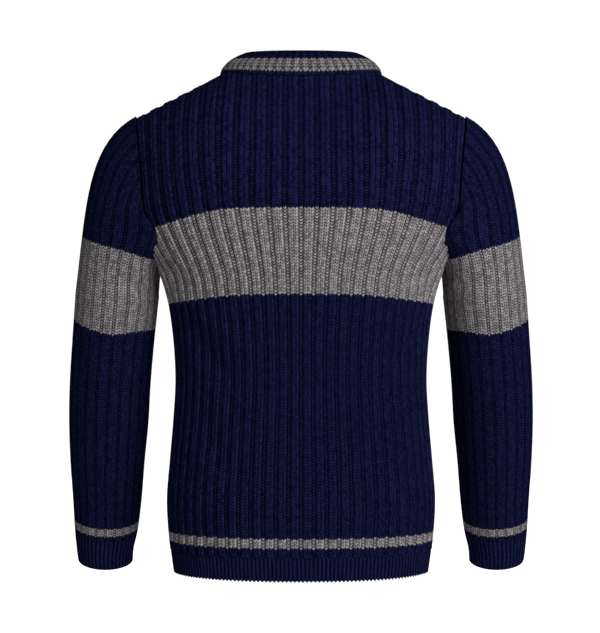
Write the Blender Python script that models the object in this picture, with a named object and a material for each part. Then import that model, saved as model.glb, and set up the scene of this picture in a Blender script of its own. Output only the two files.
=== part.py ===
"""Crew-neck pullover in wide rib, filled out as if worn. Metres, +Z up.

The origin is where the shoulders hold it: the middle of the neck, level with the inner
ends of the shoulder seams. The back faces -Y, the front faces +Y.
Each piece is a thin wall. Its outer points carry the ribs, and its inside is plain.
Shapes are worked out for the +X side and mirrored to the other.
"""
import math
from collections import namedtuple

import bmesh
import bpy
import numpy as np

# Cloth
WALL = 0.0022
RIB_RELIEF = 0.0018
FINE_RELIEF = 0.0008
SEAM_GAP = 0.0003
RELIEF_FADE = 0.035

# Ribs of the body, counted from the middle of a panel to its side seam
SIDE_RIB = 15
ARMHOLE_RIB = 11
NECK_RIB = 6
RIB_CREST = (0.0, 0.28, 0.72)
FINE_PER_BODY_RIB = 3
FINE_PER_SLEEVE_RIB = 2
FINE_PER_NECK_RIB = 2

# Heights of the body
HEM_EDGE = -0.675
HEM_SEAM = -0.644
ARMHOLE_FOOT = -0.183
BODY_ROWS = (-0.600, -0.525, -0.450, -0.370, -0.300, -0.240)
YOKE_STEPS = 7
ARMHOLE_BLEND = 0.75

BodySection = namedtuple("BodySection", "height half_width back_depth front_depth")
BODY_SECTIONS = (
    BodySection(-0.676, 0.1715, 0.114, 0.106),
    BodySection(-0.655, 0.1745, 0.115, 0.108),
    BodySection(-0.620, 0.1785, 0.116, 0.112),
    BodySection(-0.580, 0.1805, 0.117, 0.115),
    BodySection(-0.526, 0.1765, 0.114, 0.114),
    BodySection(-0.470, 0.1718, 0.108, 0.110),
    BodySection(-0.418, 0.1690, 0.104, 0.108),
    BodySection(-0.370, 0.1712, 0.107, 0.111),
    BodySection(-0.309, 0.1790, 0.116, 0.119),
    BodySection(-0.246, 0.192, 0.123, 0.125),
    BodySection(-0.183, 0.196, 0.126, 0.126),
    BodySection(-0.120, 0.198, 0.126, 0.122),
)
SQUARENESS = 2.25
ARC_STEPS = 181

# The armhole, on the +X side
UNDERARM = np.array((0.192, 0.0, -0.246))
SHOULDER_TIP = np.array((0.222, 0.004, -0.0625))
BACK_NOTCH = np.array((0.2072, -0.064, ARMHOLE_FOOT))
FRONT_NOTCH = np.array((0.2040, 0.062, ARMHOLE_FOOT))
SCOOP_FOOT_PULL = 0.034
SCOOP_TOP_PULL = 0.030

# Shoulder and neck
NECK_SIDE = np.array((0.1075, 0.004, 0.0))
NECK_BACK = np.array((0.0, -0.055, -0.018))
NECK_FRONT = np.array((0.0, 0.074, -0.078))
NECK_SPREAD = 0.45
NECK_BACK_DIP = 1.7
NECK_FRONT_DIP = 1.3
NECK_TILT = math.radians(35)
SHOULDER_BOW = 0.0
SHOULDER_DIRECTION = np.array((0.0, 0.93, 0.36))
NECK_DIRECTION = np.array((0.0, 0.35, 0.94))
RISE_PULL = 0.45
SHOULDER_PULL = 0.36

# Neckband
BAND_STEPS = 4
BAND_SIDE = np.array((-0.035, 0.0, 0.0255))
BAND_BACK = np.array((0.0, 0.020, 0.0365))
BAND_FRONT = np.array((0.0, -0.016, 0.041))
BAND_LEAN = 1.8

# Sleeve, a straight tube below the upper arm that hangs a little forward
SLEEVE_RIBS = 22
SLEEVE_SLOPE = 0.286
SLEEVE_LEVEL = -0.300
SLEEVE_LEVEL_Y = 0.0125
CUFF_SEAM = -0.633
CUFF_EDGE = -0.679
CAP_STEPS = (0.0, 0.13, 0.27, 0.42, 0.57, 0.72, 0.86, 1.0)
SLEEVE_ROWS = (-0.355, -0.410, -0.465, -0.525, -0.585, CUFF_SEAM)
CUFF_ROWS = (CUFF_SEAM, -0.656, CUFF_EDGE)
CAP_TOP_DIRECTION = np.array((0.88, 0.0, -0.47))
CAP_FOOT_DIRECTION = np.array((0.25, 0.0, -1.0))
CAP_TOP_PULLS = (0.075, 0.120)
CAP_FOOT_PULLS = (0.014, 0.018)
CAP_FLARE = 0.10

SleeveSection = namedtuple("SleeveSection", "height centre_x half_width")
SLEEVE_SECTIONS = (
    SleeveSection(-0.679, 0.2879, 0.0365),
    SleeveSection(-0.664, 0.2877, 0.0376),
    SleeveSection(-0.633, 0.2843, 0.0420),
    SleeveSection(-0.589, 0.2805, 0.0456),
    SleeveSection(-0.529, 0.2771, 0.0493),
    SleeveSection(-0.472, 0.2723, 0.0524),
    SleeveSection(-0.418, 0.2675, 0.0528),
    SleeveSection(-0.363, 0.2606, 0.0529),
    SleeveSection(-0.300, 0.2519, 0.0534),
)

# Folds: a trough is a soft groove that runs from one place to another across the ribs
BodyFold = namedtuple("BodyFold", "rib height far_rib far_height width depth")
BACK_FOLDS = (
    BodyFold(-10.5, -0.330, -6.0, -0.440, 0.016, 0.0035),
    BodyFold(-9.0, -0.470, -5.0, -0.560, 0.018, 0.0030),
    BodyFold(13.0, -0.335, 8.0, -0.410, 0.016, 0.0030),
    BodyFold(-13.0, -0.262, -9.0, -0.300, 0.014, 0.0030),
    BodyFold(12.5, -0.262, 9.0, -0.290, 0.014, 0.0030),
)
FRONT_FOLDS = (
    BodyFold(10.5, -0.335, 5.5, -0.430, 0.016, 0.0035),
    BodyFold(-12.0, -0.330, -7.0, -0.395, 0.016, 0.0030),
    BodyFold(-13.0, -0.262, -8.0, -0.310, 0.015, 0.0035),
    BodyFold(13.0, -0.262, 9.0, -0.300, 0.014, 0.0030),
)
SleeveFold = namedtuple("SleeveFold", "rib travel far_rib far_travel width depth")
SLEEVE_FOLDS = (
    SleeveFold(4.6, 0.20, 1.2, 0.75, 0.012, 0.0045),
    SleeveFold(5.6, 0.42, 2.4, 1.05, 0.013, 0.0040),
    SleeveFold(17.4, 0.20, 20.8, 0.75, 0.012, 0.0045),
    SleeveFold(16.4, 0.42, 19.6, 1.05, 0.013, 0.0040),
)

NAVY = (0.0060, 0.0075, 0.0270, 1.0)
DARK_NAVY = (0.0050, 0.0060, 0.0220, 1.0)
WOOL_ROUGHNESS = 0.92

UP = np.array((0.0, 0.0, 1.0))
SIDEWAYS = np.array((1.0, 0.0, 0.0))
FORWARD = np.array((0.0, 1.0, 0.0))
MIRROR = np.array((-1.0, 1.0, 1.0))


def unit(vector):
    return vector / np.linalg.norm(vector)


def mix(first, second, part):
    return first + (second - first) * part


def ease(part):
    """A smooth step from 0 to 1, level at both ends."""
    part = min(max(part, 0.0), 1.0)
    return part * part * (3 - 2 * part)


def curve_between(start, start_pull, end_pull, end, part):
    """A cubic curve from start to end. A pull is the arrow by which it leaves or arrives."""
    rest = 1 - part
    near = start + start_pull
    far = end - end_pull
    return rest**3 * start + 3 * rest**2 * part * near + 3 * rest * part**2 * far + part**3 * end


def read_table(rows, height):
    """The columns of a table at any height, on smooth curves through its rows."""
    table = np.array(rows)
    heights = table[:, 0]
    values = table[:, 1:]
    slopes = np.gradient(values, heights, axis=0)
    step = int(np.clip(np.searchsorted(heights, height) - 1, 0, len(heights) - 2))
    span = heights[step + 1] - heights[step]
    pull = span / 3
    part = (height - heights[step]) / span
    return curve_between(
        values[step], slopes[step] * pull, slopes[step + 1] * pull, values[step + 1], part
    )


def section_point(front, rib, height):
    """A point of the body's plain section, with its ribs evenly spaced along the cloth."""
    half_width, back_depth, front_depth = read_table(BODY_SECTIONS, height)
    depth = front_depth if front else back_depth
    angles = np.linspace(0, math.pi / 2, ARC_STEPS)
    xs = half_width * np.abs(np.sin(angles)) ** (2 / SQUARENESS)
    ys = depth * np.abs(np.cos(angles)) ** (2 / SQUARENESS)
    lengths = np.concatenate(([0.0], np.cumsum(np.hypot(np.diff(xs), np.diff(ys)))))
    along = lengths[-1] * rib / SIDE_RIB
    away = 1 if front else -1
    return np.array((np.interp(along, lengths, xs), away * np.interp(along, lengths, ys), height))


def section_climb(front, rib):
    """The way that a rib climbs at the foot of the armhole."""
    step = 0.02
    low = section_point(front, rib, ARMHOLE_FOOT - step)
    return unit(section_point(front, rib, ARMHOLE_FOOT) - low)


def notch(front):
    return FRONT_NOTCH if front else BACK_NOTCH


def armhole_row(front, rib):
    """The row through the foot of the armhole: level in the middle, scooped under the arm."""
    if rib > ARMHOLE_RIB:
        away = FORWARD if front else -FORWARD
        part = (SIDE_RIB - rib) / (SIDE_RIB - ARMHOLE_RIB)
        arrival = section_climb(front, ARMHOLE_RIB) * SCOOP_TOP_PULL
        return curve_between(UNDERARM, away * SCOOP_FOOT_PULL, arrival, notch(front), part)
    plain = section_point(front, rib, ARMHOLE_FOOT)
    edge = section_point(front, ARMHOLE_RIB, ARMHOLE_FOOT)
    part = rib / ARMHOLE_RIB
    widened = plain[0] * notch(front)[0] / edge[0]
    moved = plain[1] + (notch(front)[1] - edge[1]) * part**2
    return np.array((widened, moved, ARMHOLE_FOOT))


def neck_point(front, part):
    """The neck edge. part is 0 in the middle of the panel and 1 at the shoulder."""
    middle = NECK_FRONT if front else NECK_BACK
    dip = NECK_FRONT_DIP if front else NECK_BACK_DIP
    x = NECK_SIDE[0] * mix(math.sin(part * math.pi / 2), part, NECK_SPREAD)
    out = math.sqrt(max(0.0, 1 - (x / NECK_SIDE[0]) ** 2))
    y = mix(NECK_SIDE[1], middle[1], out)
    z = mix(NECK_SIDE[2], middle[2], out**dip)
    return np.array((x, y, z))


def top_point(front, rib):
    """The top edge of a panel: half the neck edge, then the shoulder seam."""
    if rib <= NECK_RIB:
        return neck_point(front, rib / NECK_RIB)
    part = (rib - NECK_RIB) / (ARMHOLE_RIB - NECK_RIB)
    point = mix(NECK_SIDE, SHOULDER_TIP, part)
    point[2] += SHOULDER_BOW * math.sin(part * math.pi)
    return point


def top_direction(front, rib):
    """The way that a rib runs where it reaches the top edge."""
    away = np.array((1.0, -1.0 if front else 1.0, 1.0))
    if rib <= NECK_RIB:
        return unit(mix(NECK_DIRECTION, SHOULDER_DIRECTION, (rib / NECK_RIB) ** 2) * away)
    part = (rib - NECK_RIB) / (ARMHOLE_RIB - NECK_RIB)
    return unit(mix(SHOULDER_DIRECTION, FORWARD, part) * away)


def fold_depth(folds, along, across, scale_along, scale_across):
    """How deep the troughs are at a place, with each table of folds in its own two measures."""
    depth = 0.0
    here = np.array((along * scale_along, across * scale_across))
    for fold in folds:
        start = np.array((fold[0] * scale_along, fold[1] * scale_across))
        end = np.array((fold[2] * scale_along, fold[3] * scale_across))
        line = end - start
        part = np.clip(np.dot(here - start, line) / np.dot(line, line), -0.2, 1.2)
        away = np.linalg.norm(here - start - line * np.clip(part, 0, 1))
        fade = math.sin(math.pi * (part + 0.2) / 1.4)
        depth += fold.depth * fade * math.exp(-((away / fold.width) ** 2))
    return depth


def plain_body_point(front, rib, rise):
    """A point of a panel's +X half. rise is 0 at the hem seam, 1 at the armhole's foot, 2 on top."""
    if rise <= 1:
        row = armhole_row(front, rib)
        height = mix(HEM_SEAM, row[2], rise)
        blend = ease((rise - ARMHOLE_BLEND) / (1 - ARMHOLE_BLEND))
        return section_point(front, rib, height) + (row - section_point(front, rib, row[2])) * blend
    start = armhole_row(front, rib)
    end = top_point(front, rib)
    reach = np.linalg.norm(end - start)
    leaving = section_climb(front, rib) * reach * RISE_PULL
    arriving = top_direction(front, rib) * reach * SHOULDER_PULL
    return curve_between(start, leaving, arriving, end, rise - 1)


def body_point(front, rib, rise):
    point = plain_body_point(front, abs(rib), rise)
    return point * MIRROR if rib < 0 else point


def surface_normal(surface, along, across, step_along, step_across, outward):
    """The outward normal of surface(along, across), from four places around."""
    one = surface(along + step_along, across) - surface(along - step_along, across)
    two = surface(along, across + step_across) - surface(along, across - step_across)
    normal = unit(np.cross(one, two))
    return normal if np.dot(normal, outward) > 0 else -normal


def body_normal(front, rib, rise):
    def surface(along, across):
        return body_point(front, along, across)

    point = body_point(front, rib, rise)
    outward = np.array((point[0], point[1] * 2, max(0.0, point[2] + 0.15)))
    return surface_normal(surface, rib, rise, 0.25, 0.02, outward)


Seam = namedtuple("Seam", "place normal across")


def hem_seam(front, rib):
    """The seam between a panel and its hem rib, at a whole rib. across points up."""
    place = body_point(front, rib, 0)
    if abs(rib) == SIDE_RIB:
        return Seam(place, SIDEWAYS * math.copysign(1, rib), UP)
    before = body_point(front, rib - 0.5, 0)
    after = body_point(front, rib + 0.5, 0)
    normal = unit(np.cross(after - before, UP))
    return Seam(place, normal if normal[1] * place[1] > 0 else -normal, UP)


def rise_steps():
    """How far up a rib each row of a panel is, from the hem seam to the top edge."""
    span = ARMHOLE_FOOT - HEM_SEAM
    lower = [(height - HEM_SEAM) / span for height in BODY_ROWS]
    return [0.0, *lower, *(1 + step / YOKE_STEPS for step in range(YOKE_STEPS + 1))]


RISES = rise_steps()
ARMHOLE_ROW = len(BODY_ROWS) + 1
TOP_ROW = ARMHOLE_ROW + YOKE_STEPS
SCOOP_RIBS = SIDE_RIB - ARMHOLE_RIB


def armhole_places():
    """The armhole on the +X side, one place for each rib of the sleeve: from under the arm,
    up the back, over the shoulder and down the front."""
    back_scoop = [body_point(False, SIDE_RIB - step, 1) for step in range(SCOOP_RIBS)]
    front_scoop = [body_point(True, SIDE_RIB - step, 1) for step in range(SCOOP_RIBS, 0, -1)]
    back_edge = [body_point(False, ARMHOLE_RIB, 1 + n / YOKE_STEPS) for n in range(YOKE_STEPS)]
    front_edge = [
        body_point(True, ARMHOLE_RIB, 1 + n / YOKE_STEPS) for n in range(YOKE_STEPS, 0, -1)
    ]
    return back_scoop + back_edge + front_edge + front_scoop


ARMHOLE = armhole_places()


def armhole_seam(index):
    """The armhole seam at a whole place. across points from the body into the sleeve."""
    count = len(ARMHOLE)
    ahead = ARMHOLE[(index + 1) % count] - ARMHOLE[(index - 1) % count]
    normal = unit(np.cross(SIDEWAYS, ahead))
    return Seam(ARMHOLE[index % count], normal, unit(np.cross(ahead, normal)))


def neck_places():
    """The neck edge: from the middle of the back, round the +X side, the front and back again."""
    back = [neck_point(False, step / NECK_RIB) for step in range(NECK_RIB)]
    front = [neck_point(True, step / NECK_RIB) for step in range(NECK_RIB, 0, -1)]
    half = back + front
    middle = [neck_point(True, 0)]
    return half + middle + [place * MIRROR for place in half[:0:-1]]


NECK = neck_places()


def neck_seam(index):
    """The neck seam at a whole place. across points from the panels into the neckband."""
    count = len(NECK)
    ahead = NECK[(index + 1) % count] - NECK[(index - 1) % count]
    level = unit(np.cross(ahead, UP))
    normal = math.cos(NECK_TILT) * level + math.sin(NECK_TILT) * UP
    across = unit(np.cross(normal, ahead))
    return Seam(NECK[index % count], normal, across if across[2] > 0 else -across)


def mirrored(seam):
    return Seam(seam.place * MIRROR, seam.normal * MIRROR, seam.across * MIRROR)


def panel_seam(front, rib, row):
    """The seam that a whole rib of a panel meets at a row, and the way its edge moves back
    from that seam, or None inside the panel."""
    side = math.copysign(1, rib)
    count = abs(rib)
    inward = -FORWARD if not front else FORWARD
    half_gap = SEAM_GAP / 2
    at_side = count == SIDE_RIB and row <= ARMHOLE_ROW
    on_scoop = row == ARMHOLE_ROW and count >= ARMHOLE_RIB
    on_edge = count == ARMHOLE_RIB and row >= ARMHOLE_ROW
    shift = inward * half_gap if at_side or (row == TOP_ROW and count >= NECK_RIB) else 0 * UP
    if on_scoop or on_edge:
        index = SIDE_RIB - count if on_scoop else SCOOP_RIBS + row - ARMHOLE_ROW
        seam = armhole_seam(-index if front else index)
        seam = seam if side > 0 else mirrored(seam)
        return seam, shift - seam.across * half_gap
    if row == 0:
        seam = hem_seam(front, rib)
        return seam, shift + UP * half_gap
    if at_side:
        place = body_point(front, rib, RISES[row])
        return Seam(place, SIDEWAYS * side, FORWARD), shift
    if row == TOP_ROW and count <= NECK_RIB:
        index = 2 * NECK_RIB - count if front else count
        seam = neck_seam(index)
        seam = seam if side > 0 else mirrored(seam)
        return seam, shift - seam.across * half_gap
    if row == TOP_ROW:
        slope = unit(SHOULDER_TIP - NECK_SIDE)
        normal = unit(np.cross(slope, FORWARD))
        normal = normal if normal[2] > 0 else -normal
        place = body_point(front, rib, 2)
        return Seam(place, normal * (MIRROR if side < 0 else 1), FORWARD), shift
    return None


def seam_edge(seam, shift, inside):
    place = seam.place + shift
    return place - seam.normal * WALL if inside else place


def on_open_seam(rib, row):
    """Whether a row of a panel is a seam at this rib, so that points between ribs lie on a chord."""
    count = abs(rib)
    return row in (0, TOP_ROW) or (row == ARMHOLE_ROW and count > ARMHOLE_RIB)


def body_crease(front, rib, rise):
    folds = FRONT_FOLDS if front else BACK_FOLDS
    height = mix(HEM_SEAM, ARMHOLE_FOOT, min(rise, 1.0))
    return fold_depth(folds, rib, height, 0.0165, 1.0) if rise < 1 else 0.0


def panel_vertex(front, rib, row, inside):
    """A point of a panel's wall, outside or inside, at a rib and a row."""
    whole = round(rib)
    if abs(rib - whole) < 1e-6:
        found = panel_seam(front, whole, row)
        if found:
            return seam_edge(*found, inside)
    elif on_open_seam(rib, row):
        low = math.floor(rib)
        first = seam_edge(*panel_seam(front, low, row), inside)
        second = seam_edge(*panel_seam(front, low + 1, row), inside)
        return mix(first, second, rib - low)
    rise = RISES[row]
    normal = body_normal(front, rib, rise)
    crest = 0.0 if abs(rib - whole) < 1e-6 else RIB_RELIEF
    lift = -WALL if inside else crest
    return body_point(front, rib, rise) + normal * (lift - body_crease(front, rib, rise))


def hem_vertex(front, rib, row, inside):
    """A point of a hem rib. Row 0 is its lower edge and the last row is the seam."""
    heights = (HEM_EDGE, mix(HEM_EDGE, HEM_SEAM, 0.5), HEM_SEAM)
    low = min(math.floor(rib), SIDE_RIB - 1)
    ends = []
    for whole in (low, low + 1):
        seam = hem_seam(front, whole)
        place = section_point(front, abs(whole), heights[row])
        place = place * MIRROR if whole < 0 else place
        if abs(whole) == SIDE_RIB:
            place = place + (FORWARD if front else -FORWARD) * SEAM_GAP / 2
        if row == 2:
            place = place - UP * SEAM_GAP / 2
        lift = -WALL if inside else 0.0
        ends.append((place + seam.normal * lift, seam.normal))
    part = rib - low
    position = mix(ends[0][0], ends[1][0], part)
    normal = unit(mix(ends[0][1], ends[1][1], part))
    raised = fine_crest(part, FINE_PER_BODY_RIB) if row < 2 and not inside else 0.0
    return position + normal * raised


def fine_crest(part, count):
    """The height of the fine ribs at a part of a wide rib: up and down, point by point."""
    step = round(part * count * 2)
    return FINE_RELIEF if step % 2 else 0.0


def sleeve_axis():
    return unit(np.array((0.08, SLEEVE_SLOPE, -1.0)))


def sleeve_ring(index, height):
    """A point of the sleeve below the cap. Index counts ribs from the side next to the body."""
    centre_x, half_width = read_table(SLEEVE_SECTIONS, height)
    centre = np.array((centre_x, SLEEVE_LEVEL_Y - SLEEVE_SLOPE * (height - SLEEVE_LEVEL), height))
    angle = 2 * math.pi * index / SLEEVE_RIBS
    across = unit(np.cross(FORWARD, sleeve_axis()))
    across = across if across[0] > 0 else -across
    backward = unit(np.cross(across, sleeve_axis()))
    backward = backward if backward[1] < 0 else -backward
    return centre + half_width * (backward * math.sin(angle) - across * math.cos(angle))


def armhole_point(index):
    """A place on the armhole at any index, on a smooth closed curve through the whole ones."""
    count = len(ARMHOLE)
    low = math.floor(index)
    before, start, end, after = (ARMHOLE[(low + step) % count] for step in (-1, 0, 1, 2))
    return curve_between(start, (end - before) / 6, (after - start) / 6, end, index - low)


def plain_sleeve_point(index, travel):
    """A point of the sleeve. travel is 0 at the armhole, 1 at the upper arm, then one for each row."""
    if travel >= 1:
        heights = (SLEEVE_LEVEL, *SLEEVE_ROWS)
        steps = range(1, len(heights) + 1)
        return sleeve_ring(index, np.interp(travel, steps, heights))
    start = armhole_point(index)
    end = sleeve_ring(index, SLEEVE_LEVEL)
    raised = (start[2] - UNDERARM[2]) / (SHOULDER_TIP[2] - UNDERARM[2])
    leaving = unit(mix(CAP_FOOT_DIRECTION, CAP_TOP_DIRECTION, raised))
    outward = unit(np.array((end[0] - 0.255, end[1] - SLEEVE_LEVEL_Y, 0.0)))
    arriving = unit(sleeve_axis() + outward * CAP_FLARE)
    leave_pull = mix(CAP_FOOT_PULLS[0], CAP_TOP_PULLS[0], raised)
    arrive_pull = mix(CAP_FOOT_PULLS[1], CAP_TOP_PULLS[1], raised)
    return curve_between(start, leaving * leave_pull, arriving * arrive_pull, end, travel)


def sleeve_vertex(index, row, inside):
    """A point of the sleeve's wall on the +X side. Row 0 is the armhole and the last is the cuff."""
    travel = CAP_STEPS[row] if row < len(CAP_STEPS) else row - len(CAP_STEPS) + 2
    low = math.floor(index)
    part = index - low
    if row == 0:
        ends = []
        for whole in (low, low + 1):
            seam = armhole_seam(whole)
            ends.append(seam_edge(seam, seam.across * SEAM_GAP / 2, inside))
        return mix(ends[0], ends[1], part)
    if row == LAST_SLEEVE_ROW:
        return cuff_seam_vertex(index, inside, -1)
    point = plain_sleeve_point(index, travel)
    normal = sleeve_normal(index, travel)
    fade = min(1.0, np.linalg.norm(point - armhole_point(index)) / RELIEF_FADE)
    crest = RIB_RELIEF * fade if part > 1e-6 else 0.0
    lift = -WALL if inside else crest
    crease = fold_depth(SLEEVE_FOLDS, index, travel, 0.0165, 0.09) * fade
    return point + normal * (lift - crease)


LAST_SLEEVE_ROW = len(CAP_STEPS) + len(SLEEVE_ROWS) - 1


def sleeve_normal(index, travel):
    point = plain_sleeve_point(index, travel)
    level = max(min(point[2], SLEEVE_LEVEL), CUFF_SEAM)
    middle = (sleeve_ring(0, level) + sleeve_ring(SLEEVE_RIBS / 2, level)) / 2
    outward = point - middle
    if travel < 1:
        outward = outward + (UP - SIDEWAYS) * 0.02 * (1 - travel)
    step = 0.04
    travel = min(travel, len(SLEEVE_ROWS) + 1 - step)
    return surface_normal(plain_sleeve_point, index, travel, 0.25, step, outward)


def cuff_seam_vertex(index, inside, away):
    """A point where the sleeve meets its cuff, on the chords between whole ribs."""
    low = math.floor(index)
    ends = []
    for whole in (low, low + 1):
        place = sleeve_ring(whole, CUFF_SEAM) + sleeve_axis() * away * SEAM_GAP / 2
        ends.append(place - cuff_normal(whole) * (WALL if inside else 0.0))
    return mix(ends[0], ends[1], index - low)


def cuff_normal(index):
    opposite = sleeve_ring(index + SLEEVE_RIBS / 2, CUFF_SEAM)
    return unit(sleeve_ring(index, CUFF_SEAM) - opposite)


def cuff_vertex(index, row, inside):
    """A point of the cuff rib on the +X side. Row 0 is the seam and the last is the edge."""
    if row == 0:
        return cuff_seam_vertex(index, inside, 1)
    low = math.floor(index)
    height = CUFF_ROWS[row]
    place = mix(sleeve_ring(low, height), sleeve_ring(low + 1, height), index - low)
    normal = unit(mix(cuff_normal(low), cuff_normal(low + 1), index - low))
    crest = fine_crest(index - low, FINE_PER_SLEEVE_RIB)
    return place + normal * (-WALL if inside else crest)


def neckband_vertex(index, row, inside):
    """A point of the neckband. Row 0 is the neck seam and the last is the open top edge."""
    low = math.floor(index)
    part = index - low
    rise = row / BAND_STEPS
    ends = []
    for whole in (low, low + 1):
        seam = neck_seam(whole)
        place = seam.place + seam.across * SEAM_GAP / 2 + band_offset(whole, rise)
        normal = band_normal(whole, rise) if row else seam.normal
        ends.append((place - normal * (WALL if inside else 0.0), normal))
    position = mix(ends[0][0], ends[1][0], part)
    normal = unit(mix(ends[0][1], ends[1][1], part))
    crest = 0.0 if row == 0 or inside else fine_crest(part, FINE_PER_NECK_RIB)
    return position + normal * crest


def band_offset(index, rise):
    """How far the neckband has moved from the seam at a part of its height: up and inward."""
    place = NECK[index % len(NECK)]
    sideways = place[0] / NECK_SIDE[0]
    lengthways = math.sqrt(max(0.0, 1 - sideways**2))
    ahead = place[1] > NECK_SIDE[1]
    middle = BAND_FRONT if ahead else BAND_BACK
    side = BAND_SIDE * np.array((sideways, 1.0, 1.0))
    lean = rise**BAND_LEAN
    return np.array((
        side[0] * lean,
        middle[1] * lengthways * lean,
        mix(BAND_SIDE[2], middle[2], lengthways**2) * rise**0.9,
    ))


def band_normal(index, rise):
    step = 0.05
    before = NECK[(index - 1) % len(NECK)] + band_offset(index - 1, rise)
    after = NECK[(index + 1) % len(NECK)] + band_offset(index + 1, rise)
    climb = band_offset(index, min(1, rise + step)) - band_offset(index, max(0, rise - step))
    normal = unit(np.cross(after - before, climb))
    place = NECK[index % len(NECK)]
    outward = np.array((place[0], place[1] * 2, 0.0))
    return normal if np.dot(normal, outward) > 0 else -normal


def wall_object(name, cells, parts, vertex, material, collection, ring=0, mirror=False):
    """A closed wall. cells are (row, rib) squares, parts are where the outer columns stand in a
    rib, and ring is the number of ribs in a closed tube, or 0 for an open panel."""
    mesh = bmesh.new()
    found = {}

    def corner(rib, part, row, inside):
        whole = rib % ring if ring else rib
        key = (whole, part, row, inside)
        if key not in found:
            place = vertex(whole + part, row, inside)
            found[key] = mesh.verts.new(place * MIRROR if mirror else place)
        return found[key]

    def outer_run(rib, row):
        return [corner(rib, part, row, False) for part in parts] + [corner(rib + 1, 0.0, row, False)]

    def inner_run(rib, row):
        return [corner(rib, 0.0, row, True), corner(rib + 1, 0.0, row, True)]

    def has(row, rib):
        return (row, rib % ring if ring else rib) in cells

    for row, rib in sorted(cells):
        low, high = outer_run(rib, row), outer_run(rib, row + 1)
        for step in range(len(parts)):
            mesh.faces.new((low[step], low[step + 1], high[step + 1], high[step]))
        inner_low, inner_high = inner_run(rib, row), inner_run(rib, row + 1)
        mesh.faces.new((inner_low[1], inner_low[0], inner_high[0], inner_high[1]))
        if not has(row - 1, rib):
            mesh.faces.new((*inner_low, *reversed(low)))
        if not has(row + 1, rib):
            mesh.faces.new((*reversed(inner_high), *high))
        if not has(row, rib - 1):
            mesh.faces.new((low[0], high[0], inner_high[0], inner_low[0]))
        if not has(row, rib + 1):
            mesh.faces.new((inner_low[1], inner_high[1], high[-1], low[-1]))
    rims = [face for face in mesh.faces if len(face.verts) > 4]
    bmesh.ops.triangulate(mesh, faces=rims)
    bmesh.ops.recalc_face_normals(mesh, faces=mesh.faces)
    data = bpy.data.meshes.new(name)
    mesh.to_mesh(data)
    mesh.free()
    data.shade_smooth()
    data.set_sharp_from_angle(angle=math.radians(50))
    data.materials.append(material)
    made = bpy.data.objects.new(name, data)
    collection.objects.link(made)
    return made


def even_parts(count):
    """The outer columns of fine ribs, two for each rib."""
    return tuple(step / (2 * count) for step in range(2 * count))


def wool(name, colour):
    material = bpy.data.materials.new(name)
    material.use_nodes = True
    shader = material.node_tree.nodes["Principled BSDF"]
    shader.inputs["Base Color"].default_value = colour
    shader.inputs["Roughness"].default_value = WOOL_ROUGHNESS
    shader.inputs["Metallic"].default_value = 0.0
    return material


def panel_cells():
    """The squares of a panel: full width below the armholes, narrower above."""
    lower = {(row, rib) for row in range(ARMHOLE_ROW) for rib in range(-SIDE_RIB, SIDE_RIB)}
    upper_rows = range(ARMHOLE_ROW, TOP_ROW)
    return lower | {(row, rib) for row in upper_rows for rib in range(-ARMHOLE_RIB, ARMHOLE_RIB)}


def grid_cells(rows, first, last):
    return {(row, rib) for row in range(rows) for rib in range(first, last)}


def make_panels(collection, knit, fine_knit):
    for front, side in ((False, "back"), (True, "front")):
        def panel(rib, row, inside, front=front):
            return panel_vertex(front, rib, row, inside)

        def hem(rib, row, inside, front=front):
            return hem_vertex(front, rib, row, inside)

        wall_object(f"{side}_panel", panel_cells(), RIB_CREST, panel, knit, collection)
        hem_cells = grid_cells(2, -SIDE_RIB, SIDE_RIB)
        hem_parts = even_parts(FINE_PER_BODY_RIB)
        wall_object(f"hem_rib_{side}", hem_cells, hem_parts, hem, fine_knit, collection)


def make_sleeves(collection, knit, fine_knit):
    sleeve_cells = grid_cells(LAST_SLEEVE_ROW, 0, SLEEVE_RIBS)
    cuff_cells = grid_cells(len(CUFF_ROWS) - 1, 0, SLEEVE_RIBS)
    cuff_parts = even_parts(FINE_PER_SLEEVE_RIB)
    for side, mirror in (("right", False), ("left", True)):
        wall_object(
            f"{side}_sleeve", sleeve_cells, RIB_CREST, sleeve_vertex, knit, collection,
            ring=SLEEVE_RIBS, mirror=mirror,
        )
        wall_object(
            f"cuff_rib_{side}", cuff_cells, cuff_parts, cuff_vertex, fine_knit, collection,
            ring=SLEEVE_RIBS, mirror=mirror,
        )


def make_neckband(collection, fine_knit):
    cells = grid_cells(BAND_STEPS, 0, len(NECK))
    parts = even_parts(FINE_PER_NECK_RIB)
    wall_object("neckband", cells, parts, neckband_vertex, fine_knit, collection, ring=len(NECK))


def main():
    for old in list(bpy.data.objects):
        bpy.data.objects.remove(old)
    collection = bpy.data.collections.new("pullover_sweater")
    bpy.context.scene.collection.children.link(collection)
    knit = wool("wide_rib_knit", NAVY)
    fine_knit = wool("fine_rib_knit", DARK_NAVY)
    make_panels(collection, knit, fine_knit)
    make_sleeves(collection, knit, fine_knit)
    make_neckband(collection, fine_knit)


main()
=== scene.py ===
"""Looks of a crew-neck pullover in wide rib, filled out as if worn.

Metres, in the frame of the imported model: the back faces -Y, the front faces +Y, and the origin
is where the shoulders hold the garment. Every piece of cloth is a thin shell on its solid's
form, with the ribs in the mesh. Stitches, stripes and marl come from nodes that read the UV
map "Knit", in which u counts ribs and v counts courses of stitches.
"""

import math
from collections import namedtuple

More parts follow.
